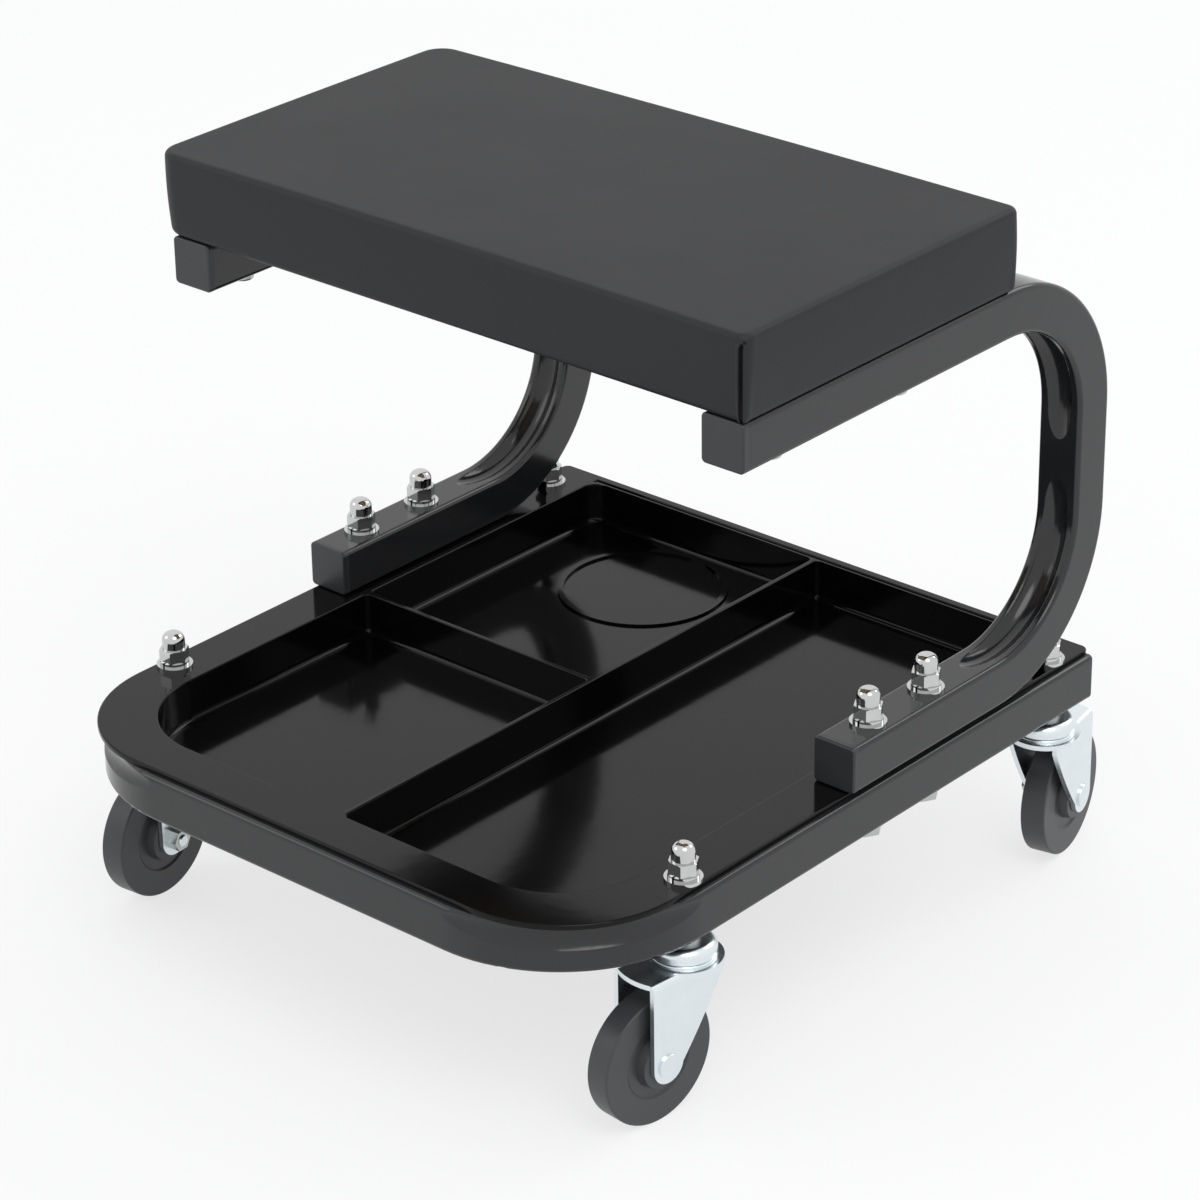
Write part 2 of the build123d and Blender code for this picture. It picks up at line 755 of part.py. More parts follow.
# The axle runs along local Y, with its head at the +Y end
axle_plane = Plane(origin=(caster_trail, 0, axle_height), x_dir=(1, 0, 0), z_dir=(0, 1, 0))
with BuildPart() as axle:
    with BuildSketch(axle_plane.offset(fork_half_width)):
        Circle(axle_head_radius)
    extrude(amount=axle_head_height)
    fillet(axle.faces().sort_by(Axis.Y)[-1].edges(), axle_head_edge)
    with BuildSketch(axle_plane.offset(fork_half_width)):
        Circle(axle_radius)
    extrude(amount=-(2 * fork_half_width + axle_nut_height + axle_end))
    chamfer(axle.faces().sort_by(Axis.Y)[0].edges(), axle_end / 2)

with BuildPart() as axle_nut:
    with BuildSketch(axle_plane.offset(-fork_half_width)):
        RegularPolygon(axle_nut_flats / 2, 6, major_radius=False)
        Circle(axle_radius + thread_clearance, mode=Mode.SUBTRACT)
    extrude(amount=-axle_nut_height)

with BuildPart() as wheel_sleeve:
    with BuildSketch(axle_plane):
        Circle(sleeve_radius)
        Circle(axle_radius + running_gap, mode=Mode.SUBTRACT)
    extrude(amount=fork_inside, both=True)

wheel_plane = Plane(origin=(caster_trail, 0, axle_height), x_dir=(0, 0, 1), z_dir=(1, 0, 0))
wheel_axis = Axis((caster_trail, 0, axle_height), (0, 1, 0))
hub_half = fork_inside - side_gap
with BuildPart() as wheel:
    with BuildSketch(wheel_plane):
        with BuildLine():
            side_points = [
                (sleeve_radius + running_gap, hub_half),
                (hub_radius, hub_half),
                (hub_foot_radius, wheel_web),
                (wheel_rim_inner_radius - wheel_round, wheel_web),
                (wheel_rim_inner_radius, wheel_width / 2),
                (wheel_diameter / 2, wheel_width / 2),
            ]
            other_points = [(radius, -half) for radius, half in reversed(side_points)]
            Polyline(*side_points, *other_points, close=True)
        make_face()
    revolve(axis=wheel_axis)
    fillet(wheel.faces().filter_by(GeomType.CYLINDER).sort_by(SortBy.AREA)[-1].edges(), wheel_round)

caster_pieces = {
    "stem": stem.part,
    "swivel_cap": swivel_cap.part,
    "swivel_balls": swivel_balls.part,
    "fork": fork.part,
    "wheel_sleeve": wheel_sleeve.part,
    "wheel": wheel.part,
}
# Each caster's stem place, its direction of trail and the side of its axle head
caster_places = {
    "front_left": (-side_x, front_stem_y, front_left_angle, -1),
    "front_right": (side_x, front_stem_y, front_right_angle, 1),
    "rear_left": (-side_x, rear_stem_y, rear_left_angle, 1),
    "rear_right": (side_x, rear_stem_y, rear_right_angle, -1),
}
for corner, (x, y, turn, head_side) in caster_places.items():
    place = Location((x, y, 0), (0, 0, turn))
    handed = {"axle": axle.part, "axle_nut": axle_nut.part}
    if head_side < 0:
        handed = {name: mirror(piece, about=Plane.XZ) for name, piece in handed.items()}
    for name, piece in {**caster_pieces, **handed}.items():
        save(place * piece, f"{corner}_{name}")

with BuildPart() as swivel_retainers:
    with Locations(*[(x, y, 0) for x, y in stem_places]):
        add(swivel_retainer.part)
save(swivel_retainers.part, "swivel_retainers")
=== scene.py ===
import math

import bmesh
import bpy
from mathutils import Matrix, Vector


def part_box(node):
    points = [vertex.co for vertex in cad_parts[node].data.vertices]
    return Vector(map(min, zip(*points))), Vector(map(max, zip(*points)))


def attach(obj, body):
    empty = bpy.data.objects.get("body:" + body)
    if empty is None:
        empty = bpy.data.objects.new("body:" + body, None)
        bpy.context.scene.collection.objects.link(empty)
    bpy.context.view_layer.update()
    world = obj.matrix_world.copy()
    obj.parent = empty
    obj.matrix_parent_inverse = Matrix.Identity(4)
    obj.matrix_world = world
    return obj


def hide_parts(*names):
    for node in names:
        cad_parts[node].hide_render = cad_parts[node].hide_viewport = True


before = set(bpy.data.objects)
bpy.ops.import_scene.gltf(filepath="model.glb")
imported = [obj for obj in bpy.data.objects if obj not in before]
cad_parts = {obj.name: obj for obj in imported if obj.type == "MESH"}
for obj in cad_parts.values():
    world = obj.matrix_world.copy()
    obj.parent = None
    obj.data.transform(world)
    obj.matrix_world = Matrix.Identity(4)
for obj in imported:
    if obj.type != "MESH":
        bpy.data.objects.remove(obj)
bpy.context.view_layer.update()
scene = bpy.context.scene
scene.view_settings.view_transform = "Standard"

# Camera: a long lens, a little higher than the seat and off the front right corner, slightly out of plumb.
camera_azimuth = math.radians(41.349)
camera_elevation = math.radians(26.366)
camera_roll = math.radians(-0.826)
camera_distance = 2.0591
camera_target = Vector((0, 0.0098, 0.1525))

camera_back = Vector(
    (
        math.sin(camera_azimuth) * math.cos(camera_elevation),
        -math.cos(camera_azimuth) * math.cos(camera_elevation),
        math.sin(camera_elevation),
    )
)
level_right = Vector((0, 0, 1)).cross(camera_back).normalized()
level_up = camera_back.cross(level_right)
camera_right = math.cos(camera_roll) * level_right + math.sin(camera_roll) * level_up
camera_up = math.cos(camera_roll) * level_up - math.sin(camera_roll) * level_right
camera = bpy.data.objects.new("camera", bpy.data.cameras.new("camera"))
camera.data.sensor_width = 36
camera.data.lens = 126.79
camera.data.clip_end = 50
camera.matrix_world = Matrix.Translation(camera_target + camera_distance * camera_back) @ Matrix(
    (camera_right, camera_up, camera_back)
).transposed().to_4x4()
scene.collection.objects.link(camera)
scene.camera = camera


# Studio: a pale floor that runs out to white, a white surround and three large soft lamps.
# The camera and mirror reflections see the surround as plain white, and see the floor partly so,
# by floor_white_share. The rest of what they see of the floor is lit, and holds the soft shadow.
floor_half_width = 6.0
floor_white_share = 0.72
surround_white_share = 1.0


def linear(code):
    """An sRGB hex value as the linear colour that shaders take."""
    channels = [int(code[i : i + 2], 16) / 255 for i in (1, 3, 5)]
    return (*[c / 12.92 if c <= 0.04045 else ((c + 0.055) / 1.055) ** 2.4 for c in channels], 1)


def add_node(tree, kind, settings=(), inputs=()):
    """Adds a node with its settings, and with a value or another node's output for each named input."""
    made = tree.nodes.new(kind)
    for name, value in dict(settings).items():
        setattr(made, name, value)
    for name, value in dict(inputs).items():
        if isinstance(value, bpy.types.NodeSocket):
            tree.links.new(value, made.inputs[name])
        else:
            made.inputs[name].default_value = value
    return made


def whiten_when_seen(tree, lit, white, white_share, output_kind):
    """Ends a studio finish: camera and mirror rays see the white shader by its share, light the lit one."""
    paths = add_node(tree, "ShaderNodeLightPath")
    camera_or_mirror = add_node(
        tree,
        "ShaderNodeMath",
        {"operation": "MAXIMUM"},
        {0: paths.outputs["Is Camera Ray"], 1: paths.outputs["Is Glossy Ray"]},
    )
    seen = add_node(
        tree,
        "ShaderNodeMath",
        {"operation": "MAXIMUM"},
        {0: camera_or_mirror.outputs[0], 1: paths.outputs["Is Transmission Ray"]},
    )
    share = add_node(
        tree, "ShaderNodeMath", {"operation": "MULTIPLY"}, {0: seen.outputs[0], 1: white_share}
    )
    mixed = add_node(
        tree, "ShaderNodeMixShader", inputs={0: share.outputs[0], 1: lit.outputs[0], 2: white.outputs[0]}
    )
    add_node(tree, output_kind, inputs={"Surface": mixed.outputs[0]})


surround = bpy.data.worlds.new("white_surround")
surround.use_nodes = True
surround.node_tree.nodes.clear()
ambient = add_node(
    surround.node_tree, "ShaderNodeBackground", inputs={"Color": linear("#f4f6f8"), "Strength": 0.8}
)
plain_white = add_node(
    surround.node_tree, "ShaderNodeBackground", inputs={"Color": linear("#ffffff"), "Strength": 1}
)
whiten_when_seen(
    surround.node_tree, ambient, plain_white, surround_white_share, "ShaderNodeOutputWorld"
)
scene.world = surround

floor_mesh = bpy.data.meshes.new("floor")
floor_mesh.from_pydata(
    [(x * floor_half_width, y * floor_half_width, 0) for x, y in ((-1, -1), (1, -1), (1, 1), (-1, 1))],
    [],
    [(0, 1, 2, 3)],
)
floor = bpy.data.objects.new("floor", floor_mesh)
scene.collection.objects.link(floor)
floor_finish = bpy.data.materials.new("pale_floor")
floor_finish.use_nodes = True
floor_finish.node_tree.nodes.clear()
floor_paint = add_node(
    floor_finish.node_tree,
    "ShaderNodeBsdfPrincipled",
    inputs={"Base Color": linear("#fcfcfc"), "Roughness": 0.9, "Specular IOR Level": 0.0},
)
floor_glow = add_node(
    floor_finish.node_tree, "ShaderNodeEmission", inputs={"Color": linear("#ffffff"), "Strength": 1}
)
whiten_when_seen(
    floor_finish.node_tree, floor_paint, floor_glow, floor_white_share, "ShaderNodeOutputMaterial"
)
floor_mesh.materials.append(floor_finish)

for lamp_name, place, width, power in (
    ("key_lamp", (1.6, -0.9, 2.6), 1.8, 22),
    ("fill_lamp", (-2.2, -1.8, 1.8), 1.6, 8),
    ("rear_lamp", (0.6, 2.4, 2.0), 1.4, 12),
):
    lamp = bpy.data.objects.new(lamp_name, bpy.data.lights.new(lamp_name, "AREA"))
    lamp.data.shape = "DISK"
    lamp.data.size = width
    lamp.data.energy = power
    lamp.location = place
    lamp.rotation_mode = "QUATERNION"
    lamp.rotation_quaternion = (Vector(place) - camera_target).to_track_quat("Z", "Y")
    scene.collection.objects.link(lamp)


# Finishes: each is named for the real one and then given to the pieces that have it.
def begin_finish(name):
    """A new finish: the material, its node tree and the place on the object that its patterns read."""
    finish = bpy.data.materials.new(name)
    finish.use_nodes = True
    finish.node_tree.nodes.clear()
    coordinates = add_node(finish.node_tree, "ShaderNodeTexCoord")
    return finish, finish.node_tree, coordinates.outputs["Object"]


def scale_for(millimetres):
    """The scale that spaces a pattern by this real size."""
    return 1000 / millimetres


def coat(finish, *names):
    """Gives every slot of these CAD nodes the finish."""
    for name in names:
        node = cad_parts[name]
        if not node.material_slots:
            node.data.materials.append(finish)
        for material_slot in node.material_slots:
            material_slot.material = finish


# Base frame and seat supports: square steel tube, bent cold, so that the inner wall of each bend is crushed
# to a trough. Baked black enamel covers it: a glossy skin, near black itself, that greys where it mirrors
# the room, with a faint orange peel left by the spray gun, a wave every few millimetres, and slow changes
# of gloss.
enamel, tree, place = begin_finish("baked_black_enamel")
orange_peel = add_node(
    tree, "ShaderNodeTexNoise", inputs={"Vector": place, "Scale": scale_for(4), "Detail": 1}
)
gloss_drift = add_node(
    tree, "ShaderNodeTexNoise", inputs={"Vector": place, "Scale": scale_for(70), "Detail": 3}
)
enamel_colour = add_node(
    tree,
    "ShaderNodeMix",
    {"data_type": "RGBA"},
    {"Factor": gloss_drift.outputs["Fac"], "A": linear("#1d1e20"), "B": linear("#242527")},
)
enamel_roughness = add_node(
    tree, "ShaderNodeMapRange", inputs={"Value": gloss_drift.outputs["Fac"], "To Min": 0.1, "To Max": 0.2}
)
peel_relief = add_node(
    tree, "ShaderNodeBump", inputs={"Height": orange_peel.outputs["Fac"], "Distance": 0.00002, "Strength": 1}
)
enamel_skin = add_node(
    tree,
    "ShaderNodeBsdfPrincipled",
    inputs={
        "Base Color": enamel_colour.outputs["Result"],
        "Roughness": enamel_roughness.outputs["Result"],
        "Normal": peel_relief.outputs["Normal"],
        "IOR": 1.5,
        "Specular IOR Level": 0.5,
    },
)
add_node(tree, "ShaderNodeOutputMaterial", inputs={"Surface": enamel_skin.outputs[0]})
coat(enamel, "base_frame", "left_seat_tube", "right_seat_tube")


# Tube ends: pushed-in caps of moulded polyethylene, satin and greyer than the enamel beside them.
# The mould was spark eroded, which leaves a fine even grain, a fifth of a millimetre across. It is drawn
# four times as coarse, so that it shows.
cap_plastic, tree, place = begin_finish("satin_black_polyethylene")
cap_grain = add_node(
    tree, "ShaderNodeTexNoise", inputs={"Vector": place, "Scale": scale_for(0.8), "Detail": 2}
)
cap_drift = add_node(
    tree, "ShaderNodeTexNoise", inputs={"Vector": place, "Scale": scale_for(14), "Detail": 3}
)
cap_colour = add_node(
    tree,
    "ShaderNodeMix",
    {"data_type": "RGBA"},
    {"Factor": cap_drift.outputs["Fac"], "A": linear("#26282a"), "B": linear("#2e3033")},
)
cap_roughness = add_node(
    tree, "ShaderNodeMapRange", inputs={"Value": cap_drift.outputs["Fac"], "To Min": 0.34, "To Max": 0.44}
)
cap_relief = add_node(
    tree, "ShaderNodeBump", inputs={"Height": cap_grain.outputs["Fac"], "Distance": 0.00002, "Strength": 1}
)
cap_skin = add_node(
    tree,
    "ShaderNodeBsdfPrincipled",
    inputs={
        "Base Color": cap_colour.outputs["Result"],
        "Roughness": cap_roughness.outputs["Result"],
        "Normal": cap_relief.outputs["Normal"],
        "IOR": 1.51,
    },
)
add_node(tree, "ShaderNodeOutputMaterial", inputs={"Surface": cap_skin.outputs[0]})
coat(
    cap_plastic,
    "upper_left_tube_cap",
    "upper_right_tube_cap",
    "lower_left_tube_cap",
    "lower_right_tube_cap",
    "rear_left_frame_cap",
    "rear_right_frame_cap",
)


# Tool tray: one sheet of polypropylene, drawn by vacuum over a polished mould and bolted down under the
# caster nuts. It is deep black and smooth, so its floors mirror the walls and tubes above them.
tray_plastic, tree, place = begin_finish("smooth_black_polypropylene")
tray_ripple = add_node(
    tree, "ShaderNodeTexNoise", inputs={"Vector": place, "Scale": scale_for(9), "Detail": 1}
)
tray_drift = add_node(
    tree, "ShaderNodeTexNoise", inputs={"Vector": place, "Scale": scale_for(50), "Detail": 3}
)
tray_colour = add_node(
    tree,
    "ShaderNodeMix",
    {"data_type": "RGBA"},
    {"Factor": tray_drift.outputs["Fac"], "A": linear("#050506"), "B": linear("#0a0a0b")},
)
tray_roughness = add_node(
    tree, "ShaderNodeMapRange", inputs={"Value": tray_drift.outputs["Fac"], "To Min": 0.07, "To Max": 0.14}
)
tray_relief = add_node(
    tree, "ShaderNodeBump", inputs={"Height": tray_ripple.outputs["Fac"], "Distance": 0.00002, "Strength": 1}
)
tray_skin = add_node(
    tree,
    "ShaderNodeBsdfPrincipled",
    inputs={
        "Base Color": tray_colour.outputs["Result"],
        "Roughness": tray_roughness.outputs["Result"],
        "Normal": tray_relief.outputs["Normal"],
        "IOR": 1.49,
        "Specular IOR Level": 0.2,
    },
)
add_node(tree, "ShaderNodeOutputMaterial", inputs={"Surface": tray_skin.outputs[0]})
coat(tray_plastic, "tool_tray")


# Domed nuts, spring washers and flat washers: turned and pressed steel, polished and chrome plated.
# They are mirrors, with the faint haze that buffing leaves in patches. The swivel balls share the finish.
chrome, tree, place = begin_finish("polished_chrome_plate")
buffing = add_node(
    tree, "ShaderNodeTexNoise", inputs={"Vector": place, "Scale": scale_for(4), "Detail": 3}
)
chrome_colour = add_node(
    tree,
    "ShaderNodeMix",
    {"data_type": "RGBA"},
    {"Factor": buffing.outputs["Fac"], "A": linear("#bfc0c0"), "B": linear("#cfd0cf")},
)
chrome_roughness = add_node(
    tree, "ShaderNodeMapRange", inputs={"Value": buffing.outputs["Fac"], "To Min": 0.05, "To Max": 0.12}
)
chrome_skin = add_node(
    tree,
    "ShaderNodeBsdfPrincipled",
    inputs={
        "Base Color": chrome_colour.outputs["Result"],
        "Metallic": 1.0,
        "Roughness": chrome_roughness.outputs["Result"],
    },
)
add_node(tree, "ShaderNodeOutputMaterial", inputs={"Surface": chrome_skin.outputs[0]})
coat(
    chrome,
    "tube_cap_nuts",
    "caster_cap_nuts",
    "tube_flat_washers",
    "caster_flat_washers",
    "tube_spring_washers",
    "caster_spring_washers",
)


# Bolts, screws, staples, stems and axle nuts: steel in plain zinc plate, duller than the forks and a little
# warm, with patches where the bath ran thin.
plain_zinc, tree, place = begin_finish("dull_zinc_plate")
bath_patches = add_node(
    tree, "ShaderNodeTexNoise", inputs={"Vector": place, "Scale": scale_for(3), "Detail": 3}
)
plain_zinc_colour = add_node(
    tree,
    "ShaderNodeMix",
    {"data_type": "RGBA"},
    {"Factor": bath_patches.outputs["Fac"], "A": linear("#aeb1b1"), "B": linear("#c8cac9")},
)
plain_zinc_roughness = add_node(
    tree, "ShaderNodeMapRange", inputs={"Value": bath_patches.outputs["Fac"], "To Min": 0.24, "To Max": 0.4}
)
plain_zinc_skin = add_node(
    tree,
    "ShaderNodeBsdfPrincipled",
    inputs={
        "Base Color": plain_zinc_colour.outputs["Result"],
        "Metallic": 1.0,
        "Roughness": plain_zinc_roughness.outputs["Result"],
    },
)
add_node(tree, "ShaderNodeOutputMaterial", inputs={"Surface": plain_zinc_skin.outputs[0]})
coat(
    plain_zinc,
    "seat_screws",
    "seat_screw_washers",
    "seat_tee_nuts",
    "cover_staples",
    "tube_bolts",
    "tube_bolt_washers",
    "swivel_retainers",
)


# Swivel casters: forks and raceways pressed from steel sheet and bright zinc plated, a pale blue grey with
# soft reflections and a fine spangle, on solid moulded wheels of dark grey plastic with a satin side. The
# wheels' grain comes from a blasted mould and is drawn coarser than it is, so that it shows.
bright_zinc, tree, place = begin_finish("bright_zinc_plate")
spangle = add_node(tree, "ShaderNodeTexVoronoi", inputs={"Vector": place, "Scale": scale_for(1.6)})
zinc_cloud = add_node(
    tree, "ShaderNodeTexNoise", inputs={"Vector": place, "Scale": scale_for(9), "Detail": 3}
)
bright_zinc_colour = add_node(
    tree,
    "ShaderNodeMix",
    {"data_type": "RGBA"},
    {"Factor": zinc_cloud.outputs["Fac"], "A": linear("#dce4e7"), "B": linear("#e8eff2")},
)
bright_zinc_roughness = add_node(
    tree, "ShaderNodeMapRange", inputs={"Value": zinc_cloud.outputs["Fac"], "To Min": 0.2, "To Max": 0.3}
)
spangle_relief = add_node(
    tree, "ShaderNodeBump", inputs={"Height": spangle.outputs["Distance"], "Distance": 0.00001, "Strength": 1}
)
bright_zinc_skin = add_node(
    tree,
    "ShaderNodeBsdfPrincipled",
    inputs={
        "Base Color": bright_zinc_colour.outputs["Result"],
        "Metallic": 1.0,
        "Roughness": bright_zinc_roughness.outputs["Result"],
        "Normal": spangle_relief.outputs["Normal"],
    },
)
add_node(tree, "ShaderNodeOutputMaterial", inputs={"Surface": bright_zinc_skin.outputs[0]})

wheel_plastic, tree, place = begin_finish("moulded_wheel_plastic")
wheel_grain = add_node(
    tree, "ShaderNodeTexNoise", inputs={"Vector": place, "Scale": scale_for(0.7), "Detail": 2}
)
wheel_flow = add_node(
    tree, "ShaderNodeTexNoise", inputs={"Vector": place, "Scale": scale_for(18), "Detail": 3}
)
wheel_colour = add_node(
    tree,
    "ShaderNodeMix",
    {"data_type": "RGBA"},
    {"Factor": wheel_flow.outputs["Fac"], "A": linear("#38393b"), "B": linear("#414245")},
)
wheel_roughness = add_node(
    tree, "ShaderNodeMapRange", inputs={"Value": wheel_flow.outputs["Fac"], "To Min": 0.36, "To Max": 0.48}
)
wheel_relief = add_node(
    tree, "ShaderNodeBump", inputs={"Height": wheel_grain.outputs["Fac"], "Distance": 0.00002, "Strength": 1}
)
wheel_skin = add_node(
    tree,
    "ShaderNodeBsdfPrincipled",
    inputs={
        "Base Color": wheel_colour.outputs["Result"],
        "Roughness": wheel_roughness.outputs["Result"],
        "Normal": wheel_relief.outputs["Normal"],
        "IOR": 1.5,
    },
)
add_node(tree, "ShaderNodeOutputMaterial", inputs={"Surface": wheel_skin.outputs[0]})

for corner in ("front_left", "front_right", "rear_left", "rear_right"):
    coat(bright_zinc, f"{corner}_fork", f"{corner}_swivel_cap", f"{corner}_axle")
    coat(plain_zinc, f"{corner}_stem", f"{corner}_axle_nut", f"{corner}_wheel_sleeve")
    coat(chrome, f"{corner}_swivel_balls")
    coat(wheel_plastic, f"{corner}_wheel")


# Seat board: birch plywood, sawn and left raw, seen only from below inside the cover's hem.
# Its face veneer runs along the seat, with fibres drawn out a dozen times as long as they are wide.
plywood, tree, place = begin_finish("raw_birch_plywood")
along_grain = add_node(tree, "ShaderNodeMapping", inputs={"Vector": place, "Scale": (0.08, 1, 1)})
fibres = add_node(
    tree,
    "ShaderNodeTexNoise",
    inputs={"Vector": along_grain.outputs["Vector"], "Scale": scale_for(2.5), "Detail": 6},
)
veneer_colour = add_node(
    tree,
    "ShaderNodeMix",
    {"data_type": "RGBA"},
    {"Factor": fibres.outputs["Fac"], "A": linear("#a98356"), "B": linear("#d0ae7d")},
)
fibre_relief = add_node(
    tree, "ShaderNodeBump", inputs={"Height": fibres.outputs["Fac"], "Distance": 0.00008, "Strength": 1}
)
veneer = add_node(
    tree,
    "ShaderNodeBsdfPrincipled",
    inputs={
        "Base Color": veneer_colour.outputs["Result"],
        "Roughness": 0.75,
        "Normal": fibre_relief.outputs["Normal"],
    },
)
add_node(tree, "ShaderNodeOutputMaterial", inputs={"Surface": veneer.outputs[0]})
coat(plywood, "seat_board")


# Seat: a block of foam on the board, under one piece of calendered vinyl that is drawn tight, folded at its
# right-hand corners and stapled underneath. The vinyl has an embossed pebble, and lies in soft lumps over
# the foam. One cushion stands for both. Its form is laid out ring by ring, from the board's pocket round
# the hem and up the sides to the crown.
vinyl, tree, place = begin_finish("calendered_pvc_vinyl")
pebble = add_node(tree, "ShaderNodeTexVoronoi", inputs={"Vector": place, "Scale": scale_for(0.9)})
foam_lumps = add_node(
    tree, "ShaderNodeTexNoise", inputs={"Vector": place, "Scale": scale_for(55), "Detail": 2}
)
vinyl_colour = add_node(
    tree,
    "ShaderNodeMix",
    {"data_type": "RGBA"},
    {"Factor": foam_lumps.outputs["Fac"], "A": linear("#222325"), "B": linear("#262729")},
)
vinyl_roughness = add_node(
    tree, "ShaderNodeMapRange", inputs={"Value": foam_lumps.outputs["Fac"], "To Min": 0.5, "To Max": 0.58}
)
lump_relief = add_node(
    tree, "ShaderNodeBump", inputs={"Height": foam_lumps.outputs["Fac"], "Distance": 0.0005, "Strength": 1}
)
pebble_relief = add_node(
    tree,
    "ShaderNodeBump",
    inputs={
        "Height": pebble.outputs["Distance"],
        "Distance": 0.00004,
        "Strength": 1,
        "Normal": lump_relief.outputs["Normal"],
    },
)
vinyl_skin = add_node(
    tree,
    "ShaderNodeBsdfPrincipled",
    inputs={
        "Base Color": vinyl_colour.outputs["Result"],
        "Roughness": vinyl_roughness.outputs["Result"],
        "Normal": pebble_relief.outputs["Normal"],
        "IOR": 1.5,
        "Specular IOR Level": 0.28,
    },
)
add_node(tree, "ShaderNodeOutputMaterial", inputs={"Surface": vinyl_skin.outputs[0]})

# Sizes of the seat, in millimetres
seat_low, seat_high = [corner * 1000 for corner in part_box("seat_cover")]
seat_half_x = (seat_high.x - seat_low.x) / 2
seat_half_y = (seat_high.y - seat_low.y) / 2
seat_middle = (seat_high + seat_low) / 2
seat_corner_radius = {(-1, -1): 13.0, (1, -1): 6.5, (1, 1): 6.5, (-1, 1): 13.0}
seat_top_round = 3.2
seat_bottom_round = 4.0
seat_crown = 1.2
seat_draw_in = 1.2
cover_thickness = 1.2
board_height = 12.0
hem_width = 35.5
side_bulge = 0.5
fold_depth = 2.6
fold_lip = 1.1
fold_start = 3.6
fold_shift = -2.4
fold_flare = 1.8
fold_reach = 2.0
fold_hook = 1.8
fold_hook_fade = 2.0
fold_start_fade = 0.6
lip_rise = (-1.8, -0.5)
lip_fall = (-0.2, 0.1)
groove_fall = (-0.2, 0.3)
groove_rise = (0.5, 1.8)
smallest_radius = 0.3
board_slack = 0.2
board_edge = 0.6
board_rings = (70.0, 30.0, 8.0)
hem_rings = (12.0, hem_width)
merge_distance = 0.01

# The share of the crown's fall at which the sides end, and the counts of steps along each run
crown_share = 0.6
corner_steps = 36
long_steps = 36
short_steps = 20
hem_steps = 5
bottom_round_steps = 6
side_steps = 32
top_round_steps = 9
crown_steps = 16


def seat_plan():
    """Places round the outline: the corner, the direction outwards, and any way on to the next corner."""
    order = [(-1, -1), (1, -1), (1, 1), (-1, 1)]
    places = []
    for index, (sx, sy) in enumerate(order):
        corner_start = math.atan2(sy, sx) - math.pi / 4
        corner_end = corner_start + math.pi / 2
        for step in range(corner_steps + 1):
            places.append(((sx, sy), corner_start + math.pi / 2 * step / corner_steps, None))
        next_corner = order[(index + 1) % len(order)]
        steps = long_steps if next_corner[1] == sy else short_steps
        for step in range(1, steps):
            places.append(((sx, sy), corner_end, (next_corner, step / steps)))
    return places


def corner_point(corner, turn, inset):
    """A point on the arc of a corner moved in by the inset, from the seat's middle."""
    radius = max(seat_corner_radius[corner] - inset, smallest_radius)
    x = corner[0] * (seat_half_x - inset - radius) + radius * math.cos(turn)
    y = corner[1] * (seat_half_y - inset - radius) + radius * math.sin(turn)
    return Vector((x, y))


def plan_point(place, inset):
    """A place of the outline moved in by the inset, from the seat's middle."""
    corner, turn, onwards = place
    point = corner_point(corner, turn, inset)
    if onwards:
        next_corner, share = onwards
        point = point.lerp(corner_point(next_corner, turn, inset), share)
    return point


def ease(start, end, value):
    """A smooth step from 0 where the value is the start to 1 where it is the end."""
    share = min(max((value - start) / (end - start), 0), 1)
    return share * share * (3 - 2 * share)


def fold_height(place, drop):
    """How far the vinyl stands out or in at a corner's fold, at this drop below the seat's top."""
    corner, turn, onwards = place
    if onwards or corner[0] < 0:
        return 0.0
    middle = math.atan2(corner[1], corner[0])
    along = (turn - middle) * (-1 if corner[1] > 0 else 1) * seat_corner_radius[corner]
    edge = fold_shift + fold_hook * (1 - ease(fold_start, fold_start + fold_hook_fade, drop))
    lip = fold_lip * ease(*lip_rise, along - edge) * (1 - ease(*lip_fall, along - edge))
    groove = fold_depth * ease(*groove_fall, along - edge) * (1 - ease(*groove_rise, along - edge))
    flare = fold_flare * drop / (seat_high.z - seat_low.z) * (1 - ease(0, math.pi / 4, abs(turn - middle)))
    return (lip - groove) * ease(fold_start - fold_start_fade, fold_start + fold_start_fade, drop) + flare


def crown_drop(point):
    """How far the crowned top lies below its middle at a point."""
    return seat_crown * point.length_squared / (seat_half_x**2 + seat_half_y**2)


plan = seat_plan()
vertices = []
rings = []


def add_ring(points, heights):
    """Adds a ring of vertices at points about the seat's middle, each with its height."""
    rings.append(range(len(vertices), len(vertices) + len(points)))
    for point, height in zip(points, heights):
        vertices.append(Vector((point.x + seat_middle.x, point.y + seat_middle.y, height)) / 1000)


# Pocket for the board, from the middle of its top down and round to the hem's edge
board_bottom = seat_low.z + cover_thickness
board_top = board_bottom + board_height
pocket_inset = cover_thickness + seat_draw_in - board_slack
for inset, height in (
    *[(inset, board_top) for inset in board_rings],
    (pocket_inset, board_top),
    (pocket_inset, board_top - board_edge),
    (pocket_inset, board_bottom + board_edge),
    (pocket_inset, board_bottom),
    *[(inset, board_bottom) for inset in hem_rings],
):
    add_ring([plan_point(place, inset) for place in plan], [height] * len(plan))

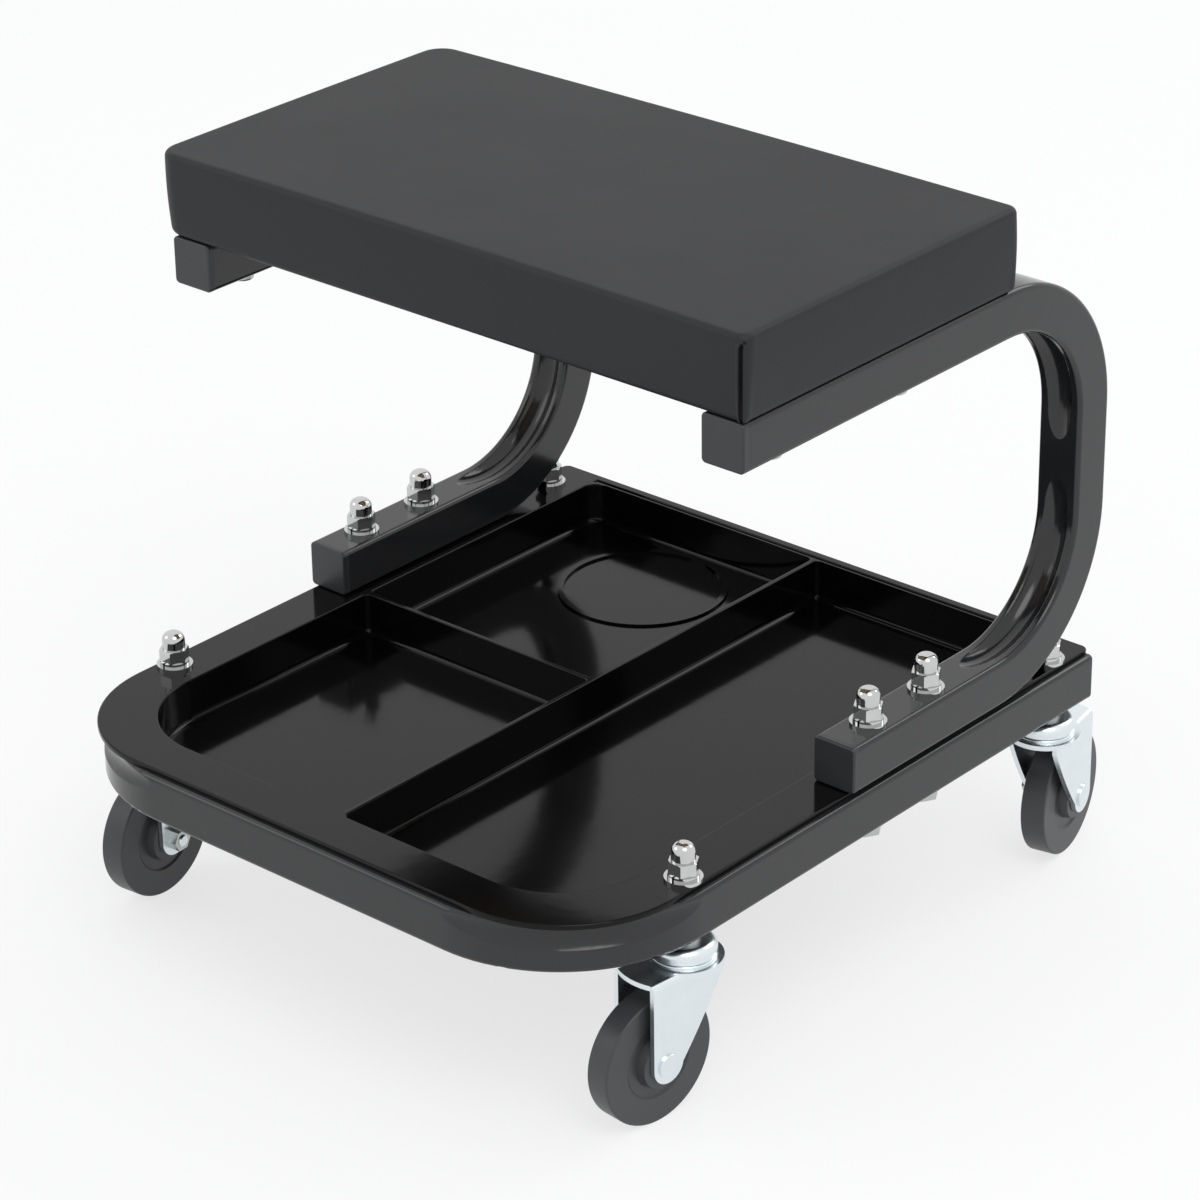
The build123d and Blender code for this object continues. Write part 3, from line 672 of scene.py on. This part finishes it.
# Hem, bottom round and side
profile = []
hem_run = hem_width - seat_bottom_round - seat_draw_in
for step in range(hem_steps + 1):
    profile.append((hem_width - hem_run * step / hem_steps, seat_low.z, 0))
for step in range(1, bottom_round_steps + 1):
    turn = math.pi / 2 * step / bottom_round_steps
    inset = seat_draw_in + seat_bottom_round * (1 - math.sin(turn))
    profile.append((inset, seat_low.z + seat_bottom_round * (1 - math.cos(turn)), 0))
side_bottom = seat_low.z + seat_bottom_round
side_top = seat_high.z - seat_crown * crown_share - seat_top_round
for step in range(1, side_steps + 1):
    share = step / side_steps
    height = side_bottom + (side_top - side_bottom) * share
    profile.append((seat_draw_in * (1 - share), height, side_bulge * math.sin(math.pi * share)))
for inset, height, bulge in profile:
    ring = []
    for place in plan:
        point = plan_point(place, inset)
        drop = seat_high.z - crown_drop(point) - height
        out = bulge + fold_height(place, drop) * ease(hem_width / 2, fold_reach, inset)
        ring.append(point + out * Vector((math.cos(place[1]), math.sin(place[1]))))
    add_ring(ring, [height] * len(plan))

# Top round and crowned top, which closes on a ridge along its middle
for step in range(1, top_round_steps + 1):
    turn = math.pi / 2 * step / top_round_steps
    ring = [plan_point(place, seat_top_round * (1 - math.cos(turn))) for place in plan]
    tops = [seat_high.z - crown_drop(point) for point in ring]
    add_ring(ring, [side_top + (top - side_top) * math.sin(turn) for top in tops])
ridge = seat_half_x - seat_half_y
rim = [plan_point(place, seat_top_round) for place in plan]
for step in range(1, crown_steps + 1):
    share = step / crown_steps
    ring = [point.lerp(Vector((min(max(point.x, -ridge), ridge), 0)), share) for point in rim]
    add_ring(ring, [seat_high.z - crown_drop(point) for point in ring])

faces = [tuple(reversed(rings[0]))]
for lower, upper in zip(rings, rings[1:]):
    for i in range(len(plan)):
        j = (i + 1) % len(plan)
        faces.append((lower[i], lower[j], upper[j], upper[i]))

cushion_mesh = bpy.data.meshes.new("seat_cushion")
cushion_mesh.from_pydata(vertices, [], faces)
shape = bmesh.new()
shape.from_mesh(cushion_mesh)
bmesh.ops.remove_doubles(shape, verts=shape.verts, dist=merge_distance / 1000)
bmesh.ops.recalc_face_normals(shape, faces=shape.faces)
shape.to_mesh(cushion_mesh)
shape.free()
cushion_mesh.polygons.foreach_set("use_smooth", [True] * len(cushion_mesh.polygons))
cushion_mesh.materials.append(vinyl)
cushion = bpy.data.objects.new("seat_cushion", cushion_mesh)
scene.collection.objects.link(cushion)
rounding = cushion.modifiers.new("rounding", "SUBSURF")
rounding.levels = rounding.render_levels = 1
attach(cushion, "stool")
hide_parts("seat_cover", "seat_foam")
